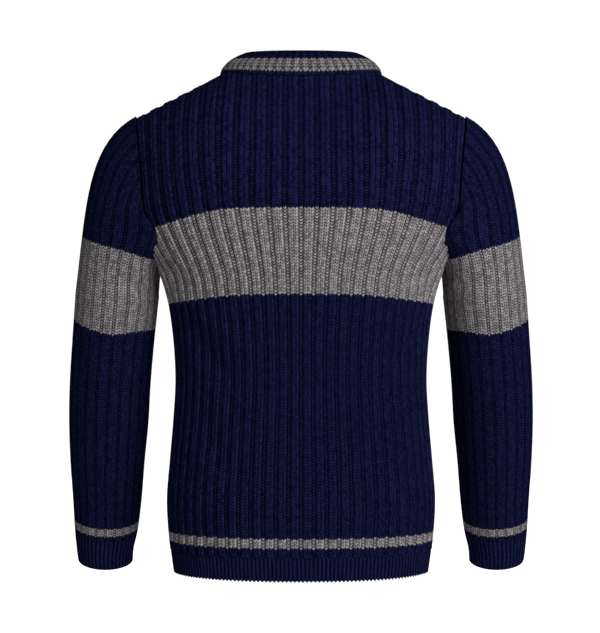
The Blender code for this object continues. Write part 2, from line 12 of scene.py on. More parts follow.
import bmesh
import bpy
import numpy as np
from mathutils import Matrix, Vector


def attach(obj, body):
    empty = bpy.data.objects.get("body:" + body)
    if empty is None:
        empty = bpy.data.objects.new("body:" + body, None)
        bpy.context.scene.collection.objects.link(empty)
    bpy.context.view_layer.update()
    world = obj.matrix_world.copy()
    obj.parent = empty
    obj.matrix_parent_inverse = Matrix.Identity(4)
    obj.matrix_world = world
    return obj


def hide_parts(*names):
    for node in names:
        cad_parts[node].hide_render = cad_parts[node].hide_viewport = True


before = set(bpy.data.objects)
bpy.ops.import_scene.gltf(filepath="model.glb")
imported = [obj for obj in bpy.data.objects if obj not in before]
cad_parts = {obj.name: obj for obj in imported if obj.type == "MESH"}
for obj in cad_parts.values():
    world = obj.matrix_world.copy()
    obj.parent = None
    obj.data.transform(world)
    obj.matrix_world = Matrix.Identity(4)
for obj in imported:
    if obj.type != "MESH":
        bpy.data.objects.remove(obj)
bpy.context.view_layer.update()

KNIT_MAP = "Knit"

# Cloth: the height of a course of stitches, and how far ribs and edges stand out or in
COURSE = 0.0038
FINE_COURSE = 0.0032
GUTTER_INSET = 0.0009
LINING_INSET = 0.0032
RIB_HEIGHT = 0.0021
GROOVE_DEPTH = 0.30
FINE_HEIGHT = 0.0010
BAND_RIB_HEIGHT = 0.0009
# Teeth along the cast-off edges: their length, and at the neck their share of the band's height
TOOTH = 0.0022
NECK_TOOTH = 0.08
SEAM_SINK = 0.0008
SEAM_WIDTH = 0.0020
SEAM_OVERLAP = 0.0025
SEAM_FADE = 0.003
# The wide ribs flatten towards a seam: over what length, to what height and how far
EDGE_FADE = 0.032
EDGE_RELIEF = 0.0006
EDGE_RIBS = 0.05

# Where the columns of the mesh stand across a wide rib, from one gutter's middle to the next
HALF_RIB = (0.0, 0.08, 0.145, 0.19, 0.25, 0.33, 0.42, 0.475)
RIB_COLUMNS = (*HALF_RIB, 0.5, *(1 - place for place in HALF_RIB[:0:-1]))
FINE_COLUMNS = tuple(step / 6 for step in range(6))
LINING_STEP = 8
LINING_ROWS = 4
BODY_GUTTER = 0.19
SLEEVE_GUTTER = 0.15
FINE_GUTTER = 0.20
NECK_GUTTER = 0.0
SHARP_ANGLE = math.radians(72)

# Ribs of the body, counted from the middle of a panel to its side seam
SIDE_RIB = 15
ARMHOLE_RIB = 11
NECK_RIB = 6
FINE_PER_BODY_RIB = 3
FINE_PER_SLEEVE_RIB = 2
NECK_FINE_RIBS = 48

# Heights of the body
HEM_EDGE = -0.675
HEM_SEAM = -0.644
ARMHOLE_FOOT = -0.183
ARMHOLE_BLEND = 0.75
LOWER_ROWS = 120
YOKE_ROWS = 56
HEM_ROWS = 12

BodySection = namedtuple("BodySection", "height half_width back_depth front_depth")
BODY_SECTIONS = (
    BodySection(-0.676, 0.1715, 0.114, 0.106),
    BodySection(-0.655, 0.1745, 0.115, 0.108),
    BodySection(-0.620, 0.1785, 0.116, 0.112),
    BodySection(-0.580, 0.1805, 0.117, 0.115),
    BodySection(-0.526, 0.1765, 0.114, 0.114),
    BodySection(-0.470, 0.1718, 0.108, 0.110),
    BodySection(-0.418, 0.1690, 0.104, 0.108),
    BodySection(-0.370, 0.1712, 0.107, 0.111),
    BodySection(-0.309, 0.1790, 0.116, 0.119),
    BodySection(-0.246, 0.192, 0.123, 0.125),
    BodySection(-0.183, 0.196, 0.126, 0.126),
    BodySection(-0.120, 0.198, 0.126, 0.122),
)
SQUARENESS = 2.25
ARC_STEPS = 181
SECTION_HEIGHTS = np.linspace(-0.690, -0.110, 233)
SECTION_RIBS = np.linspace(0, SIDE_RIB, 241)

# The armhole, on the +X side
UNDERARM = np.array((0.192, 0.0, -0.246))
SHOULDER_TIP = np.array((0.222, 0.004, -0.0625))
NOTCHES = (np.array((0.2072, -0.064, ARMHOLE_FOOT)), np.array((0.2040, 0.062, ARMHOLE_FOOT)))
SCOOP_FOOT_PULL = 0.034
SCOOP_TOP_PULL = 0.030
ARMHOLE_YOKE_STEPS = 7

# Shoulder and neck
NECK_SIDE = np.array((0.1075, 0.004, 0.0))
NECK_MIDDLES = (np.array((0.0, -0.055, -0.018)), np.array((0.0, 0.074, -0.078)))
NECK_DIPS = (1.7, 1.3)
NECK_SPREAD = 0.45
SHOULDER_DIRECTION = np.array((0.0, 0.93, 0.36))
NECK_DIRECTION = np.array((0.0, 0.35, 0.94))
# The rib that meets the top edge at each of the panel's columns
TOP_RIBS = (0.0, 1.15, 2.25, 3.25, 4.1, 4.75, 5.1, 5.95, 7.1, 8.25, 9.5, 10.8)
TOP_LEAN = 0.75
RISE_PULL = 0.45
SHOULDER_PULL = 0.36

# Neckband
BAND_ROWS = 20
BAND_SIDE = np.array((-0.035, 0.0, 0.0255))
BAND_MIDDLES = (np.array((0.0, 0.020, 0.0365)), np.array((0.0, -0.016, 0.041)))
BAND_LEAN = 1.8
BAND_CLIMB = 0.9
BAND_RIB_START = 0.16
BAND_RIB_FADE = 0.08
BAND_COURSES = 9
BAND_FIRST_COURSE = 0.4
LINK_HEIGHT = 0.0014
LINK_MIDDLE = 0.08

# Sleeve, a straight tube below the upper arm that hangs a little forward
SLEEVE_RIBS = 22
SLEEVE_SLOPE = 0.286
SLEEVE_LEVEL = -0.300
SLEEVE_LEVEL_Y = 0.0125
SLEEVE_LEVEL_X = 0.2519
CUFF_SEAM = -0.633
CUFF_EDGE = -0.679
CAP_ROWS = 72
ARM_ROWS = 92
CUFF_ROWS = 14
CAP_TOP_DIRECTION = np.array((0.88, 0.0, -0.47))
CAP_FOOT_DIRECTION = np.array((0.25, 0.0, -1.0))
CAP_TOP_PULLS = (0.075, 0.120)
CAP_FOOT_PULLS = (0.014, 0.018)
CAP_FLARE = 0.10
CAP_FADE = 0.020
CAP_EDGE_RELIEF = 0.0003
CAP_EDGE_RIBS = 0.5
# The courses of a sleeve tilt: how much, from what length above the cuff and over what length
COURSE_TILT = 0.18
TILT_START = 0.05
TILT_FADE = 0.25

SleeveSection = namedtuple("SleeveSection", "height centre_x half_width")
SLEEVE_SECTIONS = (
    SleeveSection(-0.679, 0.2879, 0.0365),
    SleeveSection(-0.664, 0.2877, 0.0376),
    SleeveSection(-0.633, 0.2843, 0.0420),
    SleeveSection(-0.589, 0.2805, 0.0456),
    SleeveSection(-0.529, 0.2771, 0.0493),
    SleeveSection(-0.472, 0.2723, 0.0524),
    SleeveSection(-0.418, 0.2675, 0.0528),
    SleeveSection(-0.363, 0.2606, 0.0529),
    SleeveSection(-0.300, 0.2519, 0.0534),
)

# Creases: soft troughs along a bent line, each from one place over another to a third.
# On the body a place is a rib and a height, on a sleeve a rib and the metres above the cuff.
Crease = namedtuple("Crease", "rib height mid_rib mid_height far_rib far_height width depth")
BACK_CREASES = (
    Crease(-10.5, -0.330, -8.5, -0.375, -6.0, -0.440, 0.016, 0.0040),
    Crease(-9.0, -0.470, -7.0, -0.510, -5.0, -0.560, 0.018, 0.0030),
    Crease(13.0, -0.335, 10.5, -0.365, 8.0, -0.410, 0.016, 0.0030),
    Crease(-13.0, -0.262, -11.0, -0.275, -9.0, -0.300, 0.014, 0.0030),
    Crease(12.5, -0.262, 11.0, -0.272, 9.0, -0.290, 0.014, 0.0030),
)
FRONT_CREASES = (
    Crease(10.5, -0.335, 8.0, -0.375, 5.5, -0.430, 0.016, 0.0035),
    Crease(-12.0, -0.330, -9.5, -0.360, -7.0, -0.395, 0.016, 0.0030),
    Crease(-13.0, -0.262, -10.5, -0.280, -8.0, -0.310, 0.015, 0.0035),
    Crease(13.0, -0.262, 11.0, -0.275, 9.0, -0.300, 0.014, 0.0030),
)
SLEEVE_CREASES = (
    Crease(4.6, 0.400, 2.9, 0.385, 1.2, 0.362, 0.010, 0.0050),
    Crease(5.6, 0.375, 4.0, 0.355, 2.4, 0.335, 0.011, 0.0040),
    Crease(17.4, 0.400, 19.1, 0.385, 20.8, 0.362, 0.010, 0.0050),
    Crease(16.4, 0.375, 18.0, 0.355, 19.6, 0.335, 0.011, 0.0040),
)
# Under each arm the sleeve hangs in a fold over the side of the body
Fold = namedtuple("Fold", "rib height rib_width height_width move")
FOLDS = (
    Fold(2.7, -0.228, 2.5, 0.031, np.array((-0.020, -0.019, 0.0))),
    Fold(19.3, -0.228, 2.5, 0.031, np.array((-0.015, 0.016, 0.0))),
)
FOLD_FADE = 0.010
RIB_PITCH = 0.0165
CREASE_STEPS = 10
CREASE_ENDS = (0.08, 0.92)

# Stripes, in courses above the hem seam, the cuff seam or the neck seam
BODY_STRIPES = ((3.0, 6.0), (87.0, 115.0))
SLEEVE_STRIPES = ((2.0, 5.0), (80.0, 110.0))
NECK_STRIPES = ((1.0, 5.0),)
# The sleeve's band is shorter on the side next to the body: courses, and their shift there
SLEEVE_INNER_SIDE = 0.045
SLEEVE_INNER_SHIFT = ((40.0, 83.0, 108.6, 130.0), (0.0, -3.2, 1.4, 1.4))
NO_STRIPES = ()

# Stitches, by their place across a rib: from its middle, at 0, to the next gutter's middle, at 0.5.
# lift is how many courses higher the yarn lies there, less a half. The third column is painted shade:
# how dark the gaps between courses are painted. The fourth is how bright the yarn is painted there:
# painted shade between the wales and on the gutters' walls, painted highlight on the purl bumps.
StitchColumn = namedtuple("StitchColumn", "away lift hole shade")
BODY_STITCHES = (
    StitchColumn(0.000, 1.00, 0.95, 0.62),
    StitchColumn(0.075, 0.75, 0.35, 1.00),
    StitchColumn(0.150, 0.50, 1.00, 0.70),
    StitchColumn(0.225, 0.75, 0.30, 1.00),
    StitchColumn(0.290, 0.95, 0.55, 0.75),
    StitchColumn(0.365, 0.50, 1.00, 0.22),
    StitchColumn(0.430, 0.25, 0.85, 0.75),
    StitchColumn(0.500, 0.00, 1.00, 1.20),
)
YOKE_STITCHES = (
    StitchColumn(0.000, 1.00, 0.60, 0.20),
    StitchColumn(0.065, 0.80, 0.20, 0.90),
    StitchColumn(0.150, 0.50, 0.65, 0.80),
    StitchColumn(0.235, 0.75, 0.15, 0.95),
    StitchColumn(0.300, 0.95, 0.60, 0.50),
    StitchColumn(0.360, 0.50, 1.00, 0.35),
    StitchColumn(0.425, 0.25, 0.80, 0.85),
    StitchColumn(0.500, 0.00, 1.00, 1.00),
)
SLEEVE_STITCHES = (
    StitchColumn(0.000, 1.00, 0.95, 0.60),
    StitchColumn(0.085, 0.75, 0.50, 1.00),
    StitchColumn(0.170, 0.50, 1.00, 0.70),
    StitchColumn(0.255, 0.75, 0.50, 1.00),
    StitchColumn(0.335, 0.95, 0.60, 0.70),
    StitchColumn(0.400, 0.50, 1.00, 0.20),
    StitchColumn(0.500, 0.00, 1.00, 1.10),
)
FINE_STITCHES = (
    StitchColumn(0.000, 0.50, 0.50, 0.95),
    StitchColumn(0.150, 0.80, 0.15, 1.00),
    StitchColumn(0.280, 1.00, 0.60, 0.75),
    StitchColumn(0.380, 0.50, 1.00, 0.35),
    StitchColumn(0.500, 0.00, 0.85, 0.50),
)
NECK_STITCHES = (
    StitchColumn(0.000, 0.50, 0.80, 0.62),
    StitchColumn(0.140, 0.65, 0.30, 0.75),
    StitchColumn(0.270, 0.75, 0.80, 0.55),
    StitchColumn(0.390, 0.50, 1.00, 0.38),
    StitchColumn(0.500, 0.25, 0.90, 0.60),
)
# Where the knit changes from body to yoke stitches, in courses
YOKE_COURSES = (113.0, 125.0)
# The courses crowd together towards the armpits: how many, over which ribs and which courses
CROWDED = 4.4
CROWDED_RIBS = (4.0, 11.0)
CROWDED_COURSES = (72.0, 115.0)

# Colours, linear
NAVY_DARK = (0.0030, 0.0040, 0.0165)
NAVY_LIGHT = (0.0125, 0.0152, 0.0620)
GREY_DARK = (0.112, 0.103, 0.109)
GREY_LIGHT = (0.370, 0.340, 0.358)
# How far the painted shade in the gaps between courses darkens the yarn at most
PAINTED_CREVICE_DEPTH = 0.97

# Yarn: how the marl varies, by the leg of a stitch and along the yarn, and how deep the bump is
LEGS_PER_RIB = 6.0
LEG_MARL = 0.7
YARN_MARL = 1.2
YARN_SCALES = (22.0, 2.6, 1.7)
FIBRE_SCALES = (40.0, 9.0)
FIBRE_HEIGHT = 0.2
WIDE_BUMP = 0.0006
FINE_BUMP = 0.0005

# Studio
FLOOR_WHITE = (0.90, 0.90, 0.90)
FLOOR_HEIGHT = -1.42
FLOOR_RADIUS = 14.0
FLOOR_GLOW = 0.05
FLOOR_SEEN = 1.0
AMBIENT = 0.29
WORLD_SEEN = 1.05
Lamp = namedtuple("Lamp", "name place size power")
LAMPS = (
    Lamp("key", (1.50, -2.40, 0.90), 1.6, 112.0),
    Lamp("back_light", (-0.50, 3.20, 0.50), 2.0, 60.0),
)
LAMPS_AIM = (0.0, 0.0, -0.30)

SIDEWAYS = np.array((1.0, 0.0, 0.0))
FORWARD = np.array((0.0, 1.0, 0.0))
MIRROR = 1 - 2 * SIDEWAYS

# Camera: eye level meets the photograph at row 410 of 633, and the garment's middle at column 301
CAMERA_DISTANCE = 1.45
EYE_LEVEL = -0.458
LENS = 60.6
SENSOR_WIDTH = 36.0
PHOTO_WIDTH = 600
PHOTO_HEIGHT = 633
EYE_ROW = 410
MIDDLE_COLUMN = 301


def unit(vectors):
    """Vectors of the same direction and of length 1."""
    return vectors / np.linalg.norm(vectors, axis=-1, keepdims=True)


def mix(first, second, part):
    """The first where part is 0, the second where it is 1, and between them as it is between."""
    return first + (second - first) * part


def ease(part):
    """A smooth step from 0 to 1, level at both ends."""
    part = np.clip(part, 0.0, 1.0)
    return part * part * (3 - 2 * part)


def curve_between(start, start_pull, end_pull, end, part):
    """Cubic curves from start to end. A pull is the arrow by which one leaves or arrives."""
    part = np.asarray(part)[..., None]
    rest = 1 - part
    near = start + start_pull
    far = end - end_pull
    return rest**3 * start + 3 * rest**2 * part * near + 3 * rest * part**2 * far + part**3 * end


def read_table(rows, heights):
    """The columns of a table at many heights, on smooth curves through its rows."""
    table = np.array(rows)
    marks = table[:, 0]
    values = table[:, 1:]
    slopes = np.gradient(values, marks, axis=0)
    step = np.clip(np.searchsorted(marks, heights) - 1, 0, len(marks) - 2)
    span = marks[step + 1] - marks[step]
    pull = (span / 3)[..., None]
    part = (heights - marks[step]) / span
    after = step + 1
    return curve_between(values[step], slopes[step] * pull, slopes[after] * pull, values[after], part)


def section_tables():
    """x and y of the body's plain sections, a row for each height and a column for each rib."""
    half_width, *depths = read_table(BODY_SECTIONS, SECTION_HEIGHTS).T
    angles = np.linspace(0, math.pi / 2, ARC_STEPS)
    xs = half_width[:, None] * np.abs(np.sin(angles)) ** (2 / SQUARENESS)
    tables = []
    for side, depth in zip((-1, 1), depths):
        ys = depth[:, None] * np.abs(np.cos(angles)) ** (2 / SQUARENESS)
        steps = np.hypot(np.diff(xs), np.diff(ys))
        lengths = np.concatenate((np.zeros((len(xs), 1)), np.cumsum(steps, axis=1)), axis=1)
        places = np.empty((len(xs), len(SECTION_RIBS), 2))
        for row, length in enumerate(lengths):
            along = length[-1] * SECTION_RIBS / SIDE_RIB
            places[row, :, 0] = np.interp(along, length, xs[row])
            places[row, :, 1] = side * np.interp(along, length, ys[row])
        tables.append(places)
    return tables


SECTIONS = section_tables()


def section_point(front, rib, height):
    """Points of the body's plain sections, with the ribs evenly spaced along the cloth."""
    rib, height = np.broadcast_arrays(rib, height)
    row = (height - SECTION_HEIGHTS[0]) / (SECTION_HEIGHTS[1] - SECTION_HEIGHTS[0])
    column = rib / SECTION_RIBS[1]
    low_row = np.clip(row.astype(int), 0, len(SECTION_HEIGHTS) - 2)
    low_column = np.clip(column.astype(int), 0, len(SECTION_RIBS) - 2)
    across = (column - low_column)[..., None]
    table = SECTIONS[front]
    low = mix(table[low_row, low_column], table[low_row, low_column + 1], across)
    high = mix(table[low_row + 1, low_column], table[low_row + 1, low_column + 1], across)
    level = mix(low, high, (row - low_row)[..., None])
    return np.concatenate((level, height[..., None]), axis=-1)


def section_climb(front, rib):
    """The way that the ribs climb at the foot of the armhole."""
    step = 0.02
    below = section_point(front, rib, ARMHOLE_FOOT - step)
    return unit(section_point(front, rib, ARMHOLE_FOOT) - below)


def armhole_row(front, rib):
    """The row through the foot of the armhole: level in the middle, scooped under the arm."""
    away = FORWARD if front else -FORWARD
    notch = NOTCHES[front]
    level = section_point(front, rib, ARMHOLE_FOOT)
    edge = section_point(front, float(ARMHOLE_RIB), ARMHOLE_FOOT)
    level[..., 0] *= notch[0] / edge[0]
    level[..., 1] += (notch[1] - edge[1]) * (rib / ARMHOLE_RIB) ** 2
    arrival = section_climb(front, float(ARMHOLE_RIB)) * SCOOP_TOP_PULL
    part = (SIDE_RIB - rib) / (SIDE_RIB - ARMHOLE_RIB)
    scoop = curve_between(UNDERARM, away * SCOOP_FOOT_PULL, arrival, notch, part)
    return np.where((rib > ARMHOLE_RIB)[..., None], scoop, level)


def neck_point(front, part):
    """The neck edge. part is 0 in the middle of a panel and 1 at the shoulder."""
    middle = NECK_MIDDLES[front]
    x = NECK_SIDE[0] * mix(np.sin(part * math.pi / 2), part, NECK_SPREAD)
    out = np.sqrt(np.clip(1 - (x / NECK_SIDE[0]) ** 2, 0, 1))
    y = mix(NECK_SIDE[1], middle[1], out)
    z = mix(NECK_SIDE[2], middle[2], out ** NECK_DIPS[front])
    return np.stack((x, y, z), axis=-1)


def top_point(front, rib):
    """The top edge of a panel: half the neck edge, then the shoulder seam."""
    part = (rib - NECK_RIB) / (ARMHOLE_RIB - NECK_RIB)
    shoulder = mix(NECK_SIDE, SHOULDER_TIP, part[..., None])
    neck = neck_point(front, np.clip(rib / NECK_RIB, 0, 1))
    return np.where((rib <= NECK_RIB)[..., None], neck, shoulder)


def top_direction(front, rib):
    """The way that the ribs run where they reach the top edge."""
    away = np.array((1.0, -1.0 if front else 1.0, 1.0))
    neck = mix(NECK_DIRECTION, SHOULDER_DIRECTION, (np.clip(rib / NECK_RIB, 0, 1) ** 2)[..., None])
    part = np.clip((rib - NECK_RIB) / (ARMHOLE_RIB - NECK_RIB), 0, 1)
    shoulder = mix(SHOULDER_DIRECTION, FORWARD, part[..., None])
    return unit(np.where((rib <= NECK_RIB)[..., None], neck, shoulder) * away)


def lower_body(front, rib, rise):
    """Points below the armhole's row. rise is 0 at the hem seam and 1 at that row."""
    row = armhole_row(front, rib)
    foot = row[..., 2]
    blend = ease((rise - ARMHOLE_BLEND) / (1 - ARMHOLE_BLEND))[..., None]
    plain = section_point(front, rib, mix(HEM_SEAM, foot, rise))
    return plain + (row - section_point(front, rib, foot)) * blend


def yoke(front, rib, rise):
    """Points above the armhole's row. rise is 0 at that row and 1 at the top edge."""
    start = armhole_row(front, rib)
    end = top_point(front, rib)
    reach = np.linalg.norm(end - start, axis=-1, keepdims=True)
    leaving = section_climb(front, rib) * reach * RISE_PULL
    arriving = top_direction(front, rib) * reach * SHOULDER_PULL
    return curve_between(start, leaving, arriving, end, rise)


def line_distance(points, line, closed=False):
    """How far points are from a line of points, and how far along it the nearest place is."""
    nearest = np.full(points.shape[:-1], np.inf)
    along = np.zeros(points.shape[:-1])
    ends = list(zip(line[:-1], line[1:])) + ([(line[-1], line[0])] if closed else [])
    for step, (start, end) in enumerate(ends):
        span = end - start
        part = np.clip((points - start) @ span / (span @ span), 0, 1)
        away = np.linalg.norm(points - start - part[..., None] * span, axis=-1)
        closer = away < nearest
        nearest = np.where(closer, away, nearest)
        along = np.where(closer, (step + part) / len(ends), along)
    return nearest, along


def crease_depth(creases, rib, height):
    """How deep the troughs are at each place."""
    here = np.stack((rib * RIB_PITCH, height), axis=-1)
    depth = np.zeros(rib.shape)
    parts = np.linspace(0, 1, CREASE_STEPS + 1)[:, None]
    for crease in creases:
        start = np.array((crease.rib * RIB_PITCH, crease.height))
        middle = np.array((crease.mid_rib * RIB_PITCH, crease.mid_height))
        end = np.array((crease.far_rib * RIB_PITCH, crease.far_height))
        line = mix(mix(start, middle, parts), mix(middle, end, parts), parts)
        away, along = line_distance(here, line)
        fade = np.sin(math.pi * mix(*CREASE_ENDS, along))
        depth += crease.depth * fade * np.exp(-((away / crease.width) ** 2))
    return depth


def fold_move(rib, points, away):
    """How the folds under the arm move a sleeve's points."""
    moved = np.zeros(points.shape)
    for fold in FOLDS:
        across = (rib - fold.rib) / fold.rib_width
        upward = (points[..., 2] - fold.height) / fold.height_width
        strength = np.exp(-(across**2 + upward**2)) * ease(away / FOLD_FADE)
        moved += strength[..., None] * fold.move
    return moved


def wide_relief(rib, gutter):
    """The height of the wide ribs: two round wales, a groove between them and a flat gutter."""
    away = np.abs(rib % 1 - 0.5)
    part = np.clip(away / (0.5 - gutter), 0, 1)
    dome = np.sqrt(np.clip(1 - (2 * part - 1) ** 2, 0, 1))
    profile = np.where(part < 0.5, mix(1 - GROOVE_DEPTH, 1, dome), dome)
    return RIB_HEIGHT * profile - GUTTER_INSET


def fine_profile(rib):
    """The height of fine one-and-one ribs."""
    return np.sin(math.pi * (rib % 1)) ** 0.8


def tooth_profile(rib):
    """The height of the teeth along a cast-off edge, one to a rib."""
    return 0.5 - 0.5 * np.cos(2 * math.pi * rib)


def columns(first, last, places):
    """Where the columns of a mesh stand, counted in ribs."""
    return np.array([rib + place for rib in range(first, last) for place in places] + [float(last)])


def cloth_normals(points):
    """Unit normals of a grid of points, on the side that sees the columns run to the right."""
    return unit(np.cross(np.gradient(points, axis=1), np.gradient(points, axis=0)))


class Shell:
    """A closed shell of cloth, put together from grids of points with their places in the knit."""

    def __init__(self):
        self.points = []
        self.knit = []
        self.faces = []
        self.count = 0

    def add_grid(self, points, knit):
        """Adds a grid and returns the numbers of its points."""
        number = np.arange(points.shape[0] * points.shape[1]).reshape(points.shape[:2]) + self.count
        self.points.append(points.reshape(-1, 3))
        self.knit.append(knit.reshape(-1, 2))
        self.count += number.size
        return number

    def fill(self, number):
        """Faces over a whole grid of numbered points."""
        corners = (number[:-1, :-1], number[:-1, 1:], number[1:, 1:], number[1:, :-1])
        self.faces.extend(np.stack(corners, axis=-1).reshape(-1, 4).tolist())

    def close(self, outer, inner):
        """A rim between a fine edge outside and a coarse one inside."""
        ratio = (len(outer) - 1) // (len(inner) - 1)
        for step in range(len(inner) - 1):
            run = outer[step * ratio:(step + 1) * ratio + 1][::-1]
            self.faces.append([int(inner[step]), int(inner[step + 1]), *map(int, run)])

    def build(self, name, material):
        """The finished object, welded, with its UV map."""
        data = bpy.data.meshes.new(name)
        points = np.concatenate(self.points)
        knit = np.concatenate(self.knit)
        used = np.unique(np.concatenate([np.ravel(face) for face in self.faces]))
        place = np.zeros(len(points), dtype=int)
        place[used] = np.arange(len(used))
        faces = [[int(place[corner]) for corner in face] for face in self.faces]
        data.from_pydata(points[used].tolist(), [], faces)
        layer = data.uv_layers.new(name=KNIT_MAP)
        corners = np.empty(len(data.loops), dtype=int)
        data.loops.foreach_get("vertex_index", corners)
        layer.data.foreach_set("uv", knit[used][corners].ravel())
        mesh = bmesh.new()
        mesh.from_mesh(data)
        bmesh.ops.remove_doubles(mesh, verts=mesh.verts, dist=1e-6)
        bmesh.ops.recalc_face_normals(mesh, faces=mesh.faces)
        mesh.to_mesh(data)
        mesh.free()
        data.shade_smooth()
        data.set_sharp_from_angle(angle=SHARP_ANGLE)
        data.materials.append(material)
        made = bpy.data.objects.new(name, data)
        bpy.context.scene.collection.objects.link(made)
        return made


def rise_along(points):
    """The length of cloth from a grid's first row up to each point, along its column."""
    steps = np.linalg.norm(np.diff(points, axis=0), axis=-1)
    return np.concatenate((np.zeros((1, points.shape[1])), np.cumsum(steps, axis=0)))


def armhole_places():
    """The armhole on the +X side, one place for each rib of the sleeve: from under the arm,
    up the back, over the shoulder and down the front."""
    scoop = np.arange(SIDE_RIB, ARMHOLE_RIB, -1.0)
    edge = np.arange(ARMHOLE_YOKE_STEPS + 1) / ARMHOLE_YOKE_STEPS
    rib = np.full(len(edge), float(ARMHOLE_RIB))
    back = np.concatenate((armhole_row(False, scoop), yoke(False, rib, edge)))
    front = np.concatenate((armhole_row(True, scoop), yoke(True, rib, edge)))
    return np.concatenate((back, front[-2:0:-1]))


ARMHOLE = armhole_places()


def armhole_point(index):
    """Places on the armhole at any index, on a smooth closed curve through the whole ones."""
    count = len(ARMHOLE)
    low = np.floor(index).astype(int)
    before, start, end, after = (ARMHOLE[(low + step) % count] for step in (-1, 0, 1, 2))
    return curve_between(start, (end - before) / 6, (after - start) / 6, end, index - low)


ARMHOLE_SEAM = armhole_point(np.linspace(0, SLEEVE_RIBS, 4 * SLEEVE_RIBS, endpoint=False))


def seam_sink(away):
    """How far the cloth turns in, by its distance from a seam."""
    return SEAM_SINK * np.exp(-((away / SEAM_WIDTH) ** 2))


def make_panel(front, material):
    """A panel: full width below the armholes, narrower above."""
    ribs = columns(-SIDE_RIB, SIDE_RIB, RIB_COLUMNS)
    wing = (SIDE_RIB - ARMHOLE_RIB) * len(RIB_COLUMNS)
    middle = slice(wing, len(ribs) - wing)
    low_rib, low_rise = np.meshgrid(np.abs(ribs), np.linspace(0, 1, LOWER_ROWS + 1))
    low = lower_body(front, low_rib, low_rise)
    high_rib, high_rise = np.meshgrid(np.abs(ribs[middle]), np.linspace(0, 1, YOKE_ROWS + 1)[1:])
    beyond = np.arange(1, YOKE_ROWS + 1)[:, None, None] * (low[-1] - low[-2])
    points = np.concatenate((low, low[-1] + beyond))
    points[LOWER_ROWS + 1:, middle] = yoke(front, high_rib, high_rise)
    points[..., 0] *= np.sign(ribs)

    across = np.gradient(points, axis=1)
    across[LOWER_ROWS + 1:, middle] = np.gradient(points[LOWER_ROWS + 1:, middle], axis=1)
    normals = unit(np.cross(across, np.gradient(points, axis=0))) * (-1 if front else 1)

    course = (points[..., 2] - HEM_SEAM) / COURSE
    climbed = rise_along(points[LOWER_ROWS:])
    course[LOWER_ROWS:] = course[LOWER_ROWS] + climbed / COURSE
    rib = np.broadcast_to(ribs, course.shape).copy()
    top_rib = np.interp(np.abs(ribs), np.arange(len(TOP_RIBS)), TOP_RIBS) * np.sign(ribs)
    rise = np.linspace(0, 1, YOKE_ROWS + 1)[:, None]
    rib[LOWER_ROWS:, middle] = mix(ribs, top_rib, rise**TOP_LEAN)[:, middle]
    sideways = ease((np.abs(ribs) - CROWDED_RIBS[0]) / (CROWDED_RIBS[1] - CROWDED_RIBS[0]))
    upward = ease((course - CROWDED_COURSES[0]) / (CROWDED_COURSES[1] - CROWDED_COURSES[0]))
    knit = np.stack((rib + SIDE_RIB, course + CROWDED * sideways * upward), axis=-1)

    creases = FRONT_CREASES if front else BACK_CREASES
    height = HEM_SEAM + course * COURSE
    right_side = np.abs(points[..., 0])[..., None] * SIDEWAYS + points * (1 - SIDEWAYS)
    away, _ = line_distance(right_side, ARMHOLE_SEAM, closed=True)
    to_top = np.full(course.shape, 1.0)
    to_top[LOWER_ROWS:] = climbed[-1] - climbed
    ribbed = mix(EDGE_RIBS, 1, ease(to_top / EDGE_FADE))
    lift = mix(EDGE_RELIEF, wide_relief(rib, BODY_GUTTER), ribbed) - seam_sink(away)
    depth = crease_depth(creases, rib, height)
    base = points - normals * depth[..., None]
    outer = base + normals * lift[..., None]

    shell = Shell()
    outer_number = shell.add_grid(outer, knit)
    coarse = (slice(None, None, LINING_ROWS), slice(None, None, LINING_STEP))
    inner_number = shell.add_grid((base - normals * LINING_INSET)[coarse], knit[coarse])
    for number, rows, side in (
        (outer_number, LOWER_ROWS, wing),
        (inner_number, LOWER_ROWS // LINING_ROWS, wing // LINING_STEP),
    ):
        shell.fill(number[:rows + 1])
        shell.fill(number[rows:, side:number.shape[1] - side])
    for outer_run, inner_run in zip(
        panel_edges(outer_number, LOWER_ROWS, wing),
        panel_edges(inner_number, LOWER_ROWS // LINING_ROWS, wing // LINING_STEP),
    ):
        shell.close(outer_run, inner_run)
    return shell.build("front_knit" if front else "back_knit", material)


def panel_edges(number, rows, wing):
    """The runs of points round the edge of a panel's grid."""
    last = number.shape[1] - wing - 1
    return (
        number[0], number[:rows + 1, 0], number[:rows + 1, -1], number[rows, :wing + 1],
        number[rows, last:], number[rows:, wing], number[rows:, last], number[-1, wing:last + 1],
    )


def make_hem(front, material):
    """The fine rib at the foot of a panel."""
    fine = columns(-SIDE_RIB * FINE_PER_BODY_RIB, SIDE_RIB * FINE_PER_BODY_RIB, FINE_COLUMNS)
    heights = np.linspace(HEM_EDGE, HEM_SEAM, HEM_ROWS + 1)
    rib, height = np.meshgrid(fine / FINE_PER_BODY_RIB, heights)
    points = section_point(front, np.abs(rib), height)
    points[..., 0] *= np.sign(rib)
    normals = cloth_normals(points) * (-1 if front else 1)
    teeth = np.zeros(points.shape)
    points[0, :, 2] += TOOTH
    teeth[0, :, 2] = -TOOTH * tooth_profile(fine)
    fade = ease((HEM_SEAM - height) / SEAM_FADE)
    lift = FINE_HEIGHT * fine_profile(fine) * fade - GUTTER_INSET / 2
    knit = np.stack((fine + 0 * height, (height - HEM_EDGE) / FINE_COURSE), axis=-1)
    name = "front_hem_knit" if front else "back_hem_knit"
    return tube_or_strip(name, points, normals, lift, knit, material, False, teeth)


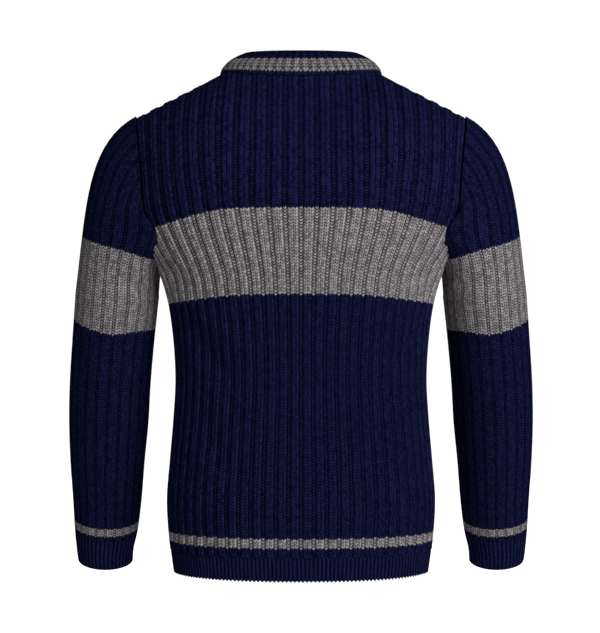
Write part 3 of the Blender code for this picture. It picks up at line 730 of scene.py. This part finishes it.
def tube_or_strip(name, points, normals, lift, knit, material, ring, teeth=0.0):
    """A shell over a plain grid, which is open at its sides or, as a ring, closed. teeth moves
    the outer points of a ribbed edge."""
    outer = points + normals * lift[..., None] + teeth
    shell = Shell()
    outer_number = shell.add_grid(outer, knit)
    column_step = next(step for step in (6, 8, 4) if (points.shape[1] - 1) % step == 0)
    row_step = next(step for step in (4, 2, 1) if (points.shape[0] - 1) % step == 0)
    inside = points - normals * LINING_INSET
    inner_number = shell.add_grid(inside[::row_step, ::column_step], knit[::row_step, ::column_step])
    for number in (outer_number, inner_number):
        shell.fill(number)
    shell.close(outer_number[0], inner_number[0])
    shell.close(outer_number[-1], inner_number[-1])
    if not ring:
        shell.close(outer_number[:, 0], inner_number[:, 0])
        shell.close(outer_number[:, -1], inner_number[:, -1])
    return shell.build(name, material)


SLEEVE_AXIS = unit(np.array((0.08, SLEEVE_SLOPE, -1.0)))
SLEEVE_ACROSS = unit(np.cross(SLEEVE_AXIS, FORWARD))
SLEEVE_BACKWARD = unit(np.cross(SLEEVE_AXIS, SLEEVE_ACROSS))


def sleeve_ring(index, height):
    """Points of the sleeve below the cap. Index counts ribs from the side next to the body."""
    centre_x, half_width = np.moveaxis(read_table(SLEEVE_SECTIONS, height), -1, 0)
    centre_y = SLEEVE_LEVEL_Y - SLEEVE_SLOPE * (height - SLEEVE_LEVEL)
    centre = np.stack((centre_x, centre_y, height), axis=-1)
    angle = 2 * math.pi * index / SLEEVE_RIBS
    away = SLEEVE_BACKWARD * np.sin(angle)[..., None] - SLEEVE_ACROSS * np.cos(angle)[..., None]
    return centre + half_width[..., None] * away


def sleeve_cap(index, travel):
    """Points of the sleeve from the armhole, where travel is 0, to the upper arm, where it is 1."""
    start = armhole_point(index)
    end = sleeve_ring(index, np.full(index.shape, SLEEVE_LEVEL))
    raised = ((start[..., 2] - UNDERARM[2]) / (SHOULDER_TIP[2] - UNDERARM[2]))[..., None]
    leaving = unit(mix(CAP_FOOT_DIRECTION, CAP_TOP_DIRECTION, raised))
    outward = end - np.array((SLEEVE_LEVEL_X, SLEEVE_LEVEL_Y, 0.0))
    outward[..., 2] = 0
    arriving = unit(SLEEVE_AXIS + unit(outward) * CAP_FLARE)
    leave_pull = mix(CAP_FOOT_PULLS[0], CAP_TOP_PULLS[0], raised)
    arrive_pull = mix(CAP_FOOT_PULLS[1], CAP_TOP_PULLS[1], raised)
    return curve_between(start, leaving * leave_pull, arriving * arrive_pull, end, travel)


def sleeve_middle():
    """The sleeve's middle line as heights and x."""
    table = np.array(SLEEVE_SECTIONS)
    return table[:, 0], table[:, 1]


def tube_normals(points):
    """Unit normals of a closed tube, whose first and last columns are the same."""
    padded = np.concatenate((points[:, -2:-1], points, points[:, 1:2]), axis=1)
    across = padded[:, 2:] - padded[:, :-2]
    return unit(np.cross(np.gradient(points, axis=0), across))


def make_sleeve(side, material):
    """A sleeve, from the cuff seam up to the armhole. side is 1 at +X and -1 at -X."""
    ribs = columns(0, SLEEVE_RIBS, RIB_COLUMNS)
    arm_rib, arm_height = np.meshgrid(ribs, np.linspace(CUFF_SEAM, SLEEVE_LEVEL, ARM_ROWS + 1))
    arm = sleeve_ring(arm_rib, arm_height)
    cap_rib, travel = np.meshgrid(ribs, np.linspace(1, 0, CAP_ROWS + 1)[1:])
    cap = sleeve_cap(cap_rib, travel)
    points = np.concatenate((arm, cap))
    normals = tube_normals(points)
    rib = np.broadcast_to(ribs, points.shape[:2])
    climbed = rise_along(points)
    outer = points[..., 0] - np.interp(points[..., 2], *sleeve_middle())
    tilt = COURSE_TILT * ease((climbed - TILT_START) / TILT_FADE)
    courses = (climbed - outer * tilt) / COURSE
    courses += ease(-outer / SLEEVE_INNER_SIDE) * np.interp(courses, *SLEEVE_INNER_SHIFT)
    knit = np.stack((rib, courses), axis=-1)
    away, _ = line_distance(points, ARMHOLE_SEAM, closed=True)
    fade = np.clip(away / CAP_FADE, 0, 1)
    ribbed = mix(CAP_EDGE_RIBS, 1, fade)
    lift = mix(CAP_EDGE_RELIEF, wide_relief(rib, SLEEVE_GUTTER), ribbed) - seam_sink(away)
    depth = crease_depth(SLEEVE_CREASES, rib, climbed) * fade
    base = points - normals * depth[..., None] + fold_move(rib, points, away)
    if side < 0:
        base = base * MIRROR
        normals = normals * MIRROR
    name = "right_sleeve_knit" if side > 0 else "left_sleeve_knit"
    return tube_or_strip(name, base, normals, lift, knit, material, True)


def make_cuff(side, material):
    """The fine rib at the end of a sleeve."""
    fine = columns(0, SLEEVE_RIBS * FINE_PER_SLEEVE_RIB, FINE_COLUMNS)
    heights = np.linspace(CUFF_EDGE, CUFF_SEAM, CUFF_ROWS + 1)
    rib, height = np.meshgrid(fine / FINE_PER_SLEEVE_RIB, heights)
    points = sleeve_ring(rib, height)
    normals = tube_normals(points)
    teeth = np.zeros(points.shape)
    points[0] -= SLEEVE_AXIS * TOOTH
    teeth[0] = SLEEVE_AXIS * TOOTH * tooth_profile(fine)[:, None]
    fade = ease((CUFF_SEAM - height) / SEAM_FADE)
    knit = np.stack((fine + 0 * height, (height - CUFF_EDGE) / FINE_COURSE), axis=-1)
    if side < 0:
        points = points * MIRROR
        normals = normals * MIRROR
        teeth = teeth * MIRROR
    name = "right_cuff_knit" if side > 0 else "left_cuff_knit"
    lift = FINE_HEIGHT * fine_profile(fine) * fade - GUTTER_INSET / 2
    return tube_or_strip(name, points, normals, lift, knit, material, True, teeth)


def neck_edge(turn):
    """The neck edge at a part of a turn: from the middle of the back, by +X, to the front and on."""
    part = (turn * 4) % 4
    quarter = 1 - np.abs(part % 2 - 1)
    back = neck_point(False, quarter)
    front = neck_point(True, quarter)
    place = np.where(((part > 1) & (part < 3))[..., None], front, back)
    place[..., 0] *= np.where(part > 2, -1, 1)
    return place


def band_offset(place, rise):
    """How far the neckband has moved from its seam at a part of its height: up and inward."""
    sideways = place[..., 0] / NECK_SIDE[0]
    lengthways = np.sqrt(np.clip(1 - sideways**2, 0, 1))
    ahead = (place[..., 1] > NECK_SIDE[1])[..., None]
    middle = np.where(ahead, BAND_MIDDLES[1], BAND_MIDDLES[0])
    lean = rise**BAND_LEAN
    return np.stack((
        BAND_SIDE[0] * sideways * lean,
        middle[..., 1] * lengthways * lean,
        mix(BAND_SIDE[2], middle[..., 2], lengthways**2) * rise**BAND_CLIMB,
    ), axis=-1)


def make_neckband(material):
    """The ring of fine rib round the neck, with a plain linked row at its seam."""
    fine = columns(0, NECK_FINE_RIBS, FINE_COLUMNS)
    rib, rise = np.meshgrid(fine, np.linspace(0, 1, BAND_ROWS + 1))
    rise = rise * mix(1 - NECK_TOOTH, 1, tooth_profile(rib))
    seam = neck_edge(rib / NECK_FINE_RIBS)
    points = seam + band_offset(seam, rise)
    points[0] -= unit(points[1] - points[0]) * SEAM_OVERLAP
    normals = tube_normals(points)
    ribbed = ease((rise - BAND_RIB_START) / BAND_RIB_FADE)
    lift = BAND_RIB_HEIGHT * fine_profile(rib) * ribbed - GUTTER_INSET / 2
    lift += LINK_HEIGHT * np.exp(-(((rise - LINK_MIDDLE) / LINK_MIDDLE) ** 2))
    knit = np.stack((rib, rise * BAND_COURSES + BAND_FIRST_COURSE), axis=-1)
    return tube_or_strip("neckband_knit", points, normals, lift, knit, material, True)


class Signal:
    """A number that runs through a node tree. Arithmetic on signals adds math nodes."""

    def __init__(self, tree, socket):
        self.tree = tree
        self.socket = socket

    def math(self, operation, *others):
        """The result of a math node on this signal and others, or on plain numbers."""
        node = self.tree.nodes.new("ShaderNodeMath")
        node.operation = operation
        for slot, value in enumerate((self, *others)):
            if isinstance(value, Signal):
                self.tree.links.new(value.socket, node.inputs[slot])
            else:
                node.inputs[slot].default_value = value
        return Signal(self.tree, node.outputs[0])

    def __add__(self, other):
        return self.math("ADD", other)

    def __sub__(self, other):
        return self.math("SUBTRACT", other)

    def __mul__(self, other):
        return self.math("MULTIPLY", other)

    def __truediv__(self, other):
        return self.math("DIVIDE", other)

    def __gt__(self, other):
        return self.math("GREATER_THAN", other)

    def __lt__(self, other):
        return self.math("LESS_THAN", other)

    def rest(self):
        """One less this signal."""
        return self * -1.0 + 1.0


def combine(tree, *signals):
    """A vector of two or three signals."""
    node = tree.nodes.new("ShaderNodeCombineXYZ")
    for slot, signal in enumerate(signals):
        tree.links.new(signal.socket, node.inputs[slot])
    return node.outputs[0]


def noise(tree, vector, detail):
    """Smooth noise from 0 to 1, one bump to a unit of the vector."""
    node = tree.nodes.new("ShaderNodeTexNoise")
    node.inputs["Scale"].default_value = 1.0
    node.inputs["Detail"].default_value = detail
    tree.links.new(vector, node.inputs["Vector"])
    return Signal(tree, node.outputs[0])


def random_per_place(tree, vector):
    """A number from 0 to 1 that is the same wherever the vector is the same."""
    node = tree.nodes.new("ShaderNodeTexWhiteNoise")
    tree.links.new(vector, node.inputs["Vector"])
    return Signal(tree, node.outputs["Value"])


def read_stitches(tree, away, columns_across):
    """The lift, the painted shade of the gaps between courses, and the painted shade and highlight of
    the yarn, from a stitch table at a place across a rib.
    """
    node = tree.nodes.new("ShaderNodeValToRGB")
    stops = node.color_ramp.elements
    while len(stops) < len(columns_across):
        stops.new(1.0)
    for stop, column in zip(stops, columns_across):
        stop.position = column.away * 2
        stop.color = (column.lift, column.hole, column.shade, 1.0)
    tree.links.new((away * 2.0).socket, node.inputs[0])
    return node.outputs[0]


def split_colour(tree, colour):
    """The three channels of a colour as signals."""
    node = tree.nodes.new("ShaderNodeSeparateColor")
    tree.links.new(colour, node.inputs[0])
    return [Signal(tree, socket) for socket in node.outputs]


def mix_colours(tree, first, second, part):
    """Two colours, each three numbers or a socket, mixed by a signal."""
    node = tree.nodes.new("ShaderNodeMix")
    node.data_type = "RGBA"
    tree.links.new(part.socket, node.inputs[0])
    for slot, colour in ((6, first), (7, second)):
        if isinstance(colour, tuple):
            node.inputs[slot].default_value = (*colour, 1.0)
        else:
            tree.links.new(colour, node.inputs[slot])
    return node.outputs[2]


def scale_colour(tree, colour, factor):
    """A colour made brighter or darker by a signal."""
    node = tree.nodes.new("ShaderNodeVectorMath")
    node.operation = "SCALE"
    tree.links.new(colour, node.inputs[0])
    tree.links.new(factor.socket, node.inputs["Scale"])
    return node.outputs[0]


def knit_material(name, low_stitches, high_stitches, gutter, stripes, relief):
    """Wool knit: navy, with stripes of marled grey between whole courses, and with painted shade
    between the stitches and painted highlight on the purl bumps.
    """
    material = bpy.data.materials.new(name)
    material.use_nodes = True
    tree = material.node_tree
    shader = tree.nodes["Principled BSDF"]
    place = tree.nodes.new("ShaderNodeUVMap")
    place.uv_map = KNIT_MAP
    split = tree.nodes.new("ShaderNodeSeparateXYZ")
    tree.links.new(place.outputs[0], split.inputs[0])
    u = Signal(tree, split.outputs[0])
    v = Signal(tree, split.outputs[1])

    phase = u.math("FRACT")
    away = (phase - 0.5).math("ABSOLUTE")
    columns_across = read_stitches(tree, away, low_stitches)
    if high_stitches is not low_stitches:
        low, high = YOKE_COURSES
        part = ((v - low) / (high - low)).math("MAXIMUM", 0.0).math("MINIMUM", 1.0)
        high_columns = read_stitches(tree, away, high_stitches)
        columns_across = mix_colours(tree, columns_across, high_columns, part)
    lift, hole, shade = split_colour(tree, columns_across)
    row = v - lift + 0.5
    # Painted shade in the gaps between courses, as deep as the stitch table's third column says
    painted_crevices = ((row * (2 * math.pi)).math("COSINE") * 0.5 + 0.5) * hole
    course = row.math("FLOOR")
    purl_middle = away > 0.5 - gutter / 2

    leg = (phase * LEGS_PER_RIB).math("FLOOR")
    lot = random_per_place(tree, combine(tree, u.math("FLOOR"), course, leg))
    scaled = [signal * scale for signal, scale in zip((u, row, leg), YARN_SCALES)]
    along = noise(tree, combine(tree, *scaled), 1.0)
    marl = (lot - 0.5) * LEG_MARL + (along - 0.5) * YARN_MARL + 0.5
    marl = marl.math("MINIMUM", 1.0).math("MAXIMUM", 0.0)
    grey = mix_colours(tree, GREY_DARK, GREY_LIGHT, marl)
    navy = mix_colours(tree, NAVY_DARK, NAVY_LIGHT, marl)
    striped = u * 0.0
    for low, high in stripes:
        striped = striped + (course > low - 0.5) * (course - purl_middle < high - 0.5)
    colour = mix_colours(tree, navy, grey, striped)
    # The colour carries painted shade in the gaps and painted shade and highlight across the rib
    painted_tone = (painted_crevices * PAINTED_CREVICE_DEPTH).rest() * shade
    tree.links.new(scale_colour(tree, colour, painted_tone), shader.inputs["Base Color"])

    fibre = noise(tree, combine(tree, u * FIBRE_SCALES[0], v * FIBRE_SCALES[1], u), 2.0)
    bump = tree.nodes.new("ShaderNodeBump")
    bump.inputs["Strength"].default_value = 1.0
    bump.inputs["Distance"].default_value = relief
    tree.links.new((painted_crevices.rest() * shade + fibre * FIBRE_HEIGHT).socket, bump.inputs["Height"])
    tree.links.new(bump.outputs[0], shader.inputs["Normal"])
    shader.inputs["Roughness"].default_value = 1.0
    shader.inputs["Specular IOR Level"].default_value = 0.0
    return material


def make_floor():
    """A wide pale floor, far below a garment that is worn at shoulder height."""
    bpy.ops.mesh.primitive_circle_add(
        vertices=96, radius=FLOOR_RADIUS, fill_type="NGON", location=(0.0, 0.0, FLOOR_HEIGHT)
    )
    floor = bpy.context.object
    floor.name = "floor"
    material = bpy.data.materials.new("pale_floor")
    material.use_nodes = True
    shader = material.node_tree.nodes["Principled BSDF"]
    shader.inputs["Base Color"].default_value = (*FLOOR_WHITE, 1.0)
    shader.inputs["Roughness"].default_value = 0.9
    shader.inputs["Emission Color"].default_value = (1.0, 1.0, 1.0, 1.0)
    path = material.node_tree.nodes.new("ShaderNodeLightPath")
    seen = Signal(material.node_tree, path.outputs["Is Camera Ray"])
    strength = seen * (FLOOR_SEEN - FLOOR_GLOW) + FLOOR_GLOW
    material.node_tree.links.new(strength.socket, shader.inputs["Emission Strength"])
    floor.data.materials.append(material)


def make_world():
    """Soft white light from all round, and white where the camera sees past the floor."""
    world = bpy.data.worlds.new("studio")
    bpy.context.scene.world = world
    world.use_nodes = True
    tree = world.node_tree
    background = tree.nodes["Background"]
    background.inputs[0].default_value = (1.0, 1.0, 1.0, 1.0)
    path = tree.nodes.new("ShaderNodeLightPath")
    seen = Signal(tree, path.outputs["Is Camera Ray"])
    strength = seen * (WORLD_SEEN - AMBIENT) + AMBIENT
    tree.links.new(strength.socket, background.inputs[1])


def make_lamp(lamp):
    """A soft round area light."""
    light = bpy.data.lights.new(lamp.name, "AREA")
    light.shape = "DISK"
    light.size = lamp.size
    light.energy = lamp.power
    made = bpy.data.objects.new(lamp.name, light)
    made.location = lamp.place
    aim = Vector(LAMPS_AIM) - Vector(lamp.place)
    made.rotation_mode = "QUATERNION"
    made.rotation_quaternion = aim.to_track_quat("-Z", "Y")
    bpy.context.scene.collection.objects.link(made)


def make_camera():
    """The photograph's view: level, from straight behind."""
    data = bpy.data.cameras.new("camera")
    data.lens = LENS
    data.sensor_width = SENSOR_WIDTH
    data.shift_x = -(MIDDLE_COLUMN - PHOTO_WIDTH / 2) / PHOTO_HEIGHT
    data.shift_y = (EYE_ROW - PHOTO_HEIGHT / 2) / PHOTO_HEIGHT
    camera = bpy.data.objects.new("camera", data)
    camera.location = (0.0, -CAMERA_DISTANCE, EYE_LEVEL)
    camera.rotation_euler = (math.pi / 2, 0.0, 0.0)
    bpy.context.scene.collection.objects.link(camera)
    bpy.context.scene.camera = camera


def dress(piece, node):
    """Puts a shell in its solid's place and hides the solid."""
    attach(piece, "root")
    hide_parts(node)


def make_pullover():
    """All nine pieces, each in its solid's place."""
    body_knit = knit_material(
        "body_knit", BODY_STITCHES, YOKE_STITCHES, BODY_GUTTER, BODY_STRIPES, WIDE_BUMP
    )
    sleeve_knit = knit_material(
        "sleeve_knit", SLEEVE_STITCHES, SLEEVE_STITCHES, SLEEVE_GUTTER, SLEEVE_STRIPES, WIDE_BUMP
    )
    rib_knit = knit_material(
        "fine_rib", FINE_STITCHES, FINE_STITCHES, FINE_GUTTER, NO_STRIPES, FINE_BUMP
    )
    neck_knit = knit_material(
        "neck_rib", NECK_STITCHES, NECK_STITCHES, NECK_GUTTER, NECK_STRIPES, FINE_BUMP
    )
    for front, side in ((False, "back"), (True, "front")):
        dress(make_panel(front, body_knit), f"{side}_panel")
        dress(make_hem(front, rib_knit), f"hem_rib_{side}")
    for side, name in ((1, "right"), (-1, "left")):
        dress(make_sleeve(side, sleeve_knit), f"{name}_sleeve")
        dress(make_cuff(side, rib_knit), f"cuff_rib_{name}")
    dress(make_neckband(neck_knit), "neckband")


make_pullover()
make_floor()
make_world()
for lamp in LAMPS:
    make_lamp(lamp)
make_camera()
bpy.context.scene.view_settings.view_transform = "Standard"
